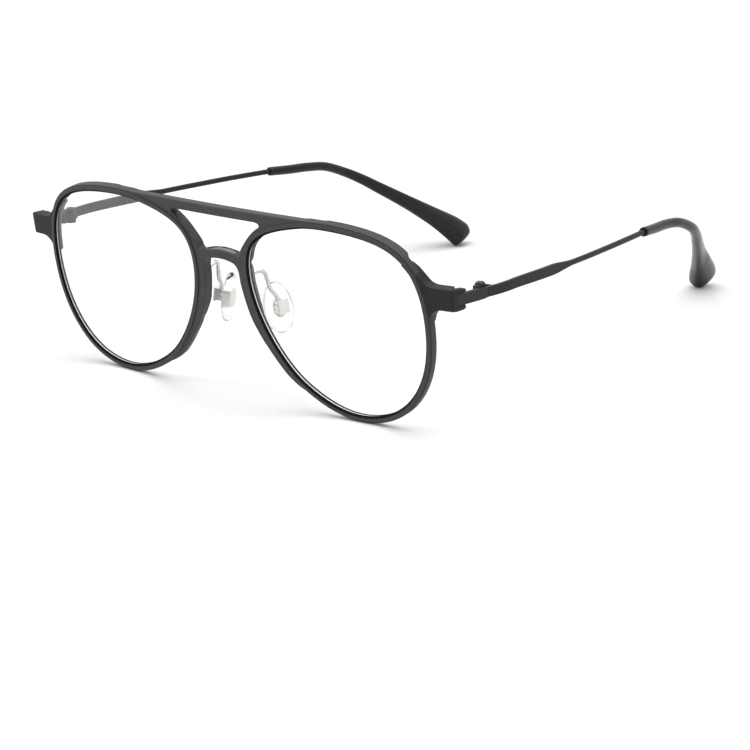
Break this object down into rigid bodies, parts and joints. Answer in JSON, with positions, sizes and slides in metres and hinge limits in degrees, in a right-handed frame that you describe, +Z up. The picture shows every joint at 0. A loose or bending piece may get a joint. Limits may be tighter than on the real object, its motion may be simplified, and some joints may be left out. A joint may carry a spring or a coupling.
{
  "type": "eyeglass frame",
  "caption": "Double-bridge pilot eyeglass frame with demo lenses, silicone nose pads on rocking boxes and slim folding temples with curved tips.",
  "frame": {"origin": "middle of the box round the frame at rest, on the surface that its two rims and two tips stand on", "axes": "+X towards the wearer's left side, +Y from the front back along the temples, +Z up"},
  "size_m": [0.1436, 0.1534, 0.051],
  "materials": {
    "front": "matte dark charcoal, fine grain",
    "lens": "clear, polished",
    "magnet": "satin",
    "hinge_metal": "satin black",
    "screw": "satin dark",
    "temple_metal": "matte black",
    "tip": "glossy black",
    "bright_metal": "polished",
    "pad": "clear silicone"
  },
  "bodies": {
    "front": {"front_frame": "front", "lens_left": "lens", "lens_right": "lens", "bridge_magnet": "magnet", "hinge_plate_left": "hinge_metal", "hinge_plate_right": "hinge_metal", "hinge_screws": "screw", "pad_arm_left": "bright_metal", "pad_arm_right": "bright_metal", "pad_box_left": "bright_metal", "pad_box_right": "bright_metal", "pad_screws": "bright_metal"},
    "left_temple": {"temple_left": "temple_metal", "temple_knuckle_left": "hinge_metal", "temple_tip_left": "tip"},
    "right_temple": {"temple_right": "temple_metal", "temple_knuckle_right": "hinge_metal", "temple_tip_right": "tip"},
    "left_pad": {"nose_pad_left": "pad", "pad_core_left": "bright_metal"},
    "right_pad": {"nose_pad_right": "pad", "pad_core_right": "bright_metal"}
  },
  "joints": [
    {"name": "left_temple_fold", "type": "hinge", "parent": "front", "child": "left_temple", "pos_m": [0.0689, -0.05869, 0.03508], "axis": [0, 0.0436, 0.999], "range_deg": [0, 81]},
    {"name": "right_temple_fold", "type": "hinge", "parent": "front", "child": "right_temple", "pos_m": [-0.0689, -0.05869, 0.03508], "axis": [0, -0.0436, -0.999], "range_deg": [0, 75]},
    {"name": "left_pad_rock", "type": "hinge", "parent": "front", "child": "left_pad", "pos_m": [0.0105, -0.06416, 0.02336], "axis": [0.342, 0.9335, 0.108], "range_deg": [-5, 5]},
    {"name": "right_pad_rock", "type": "hinge", "parent": "front", "child": "right_pad", "pos_m": [-0.0105, -0.06416, 0.02336], "axis": [0.342, -0.9335, -0.108], "range_deg": [-5, 5]}
  ]
}
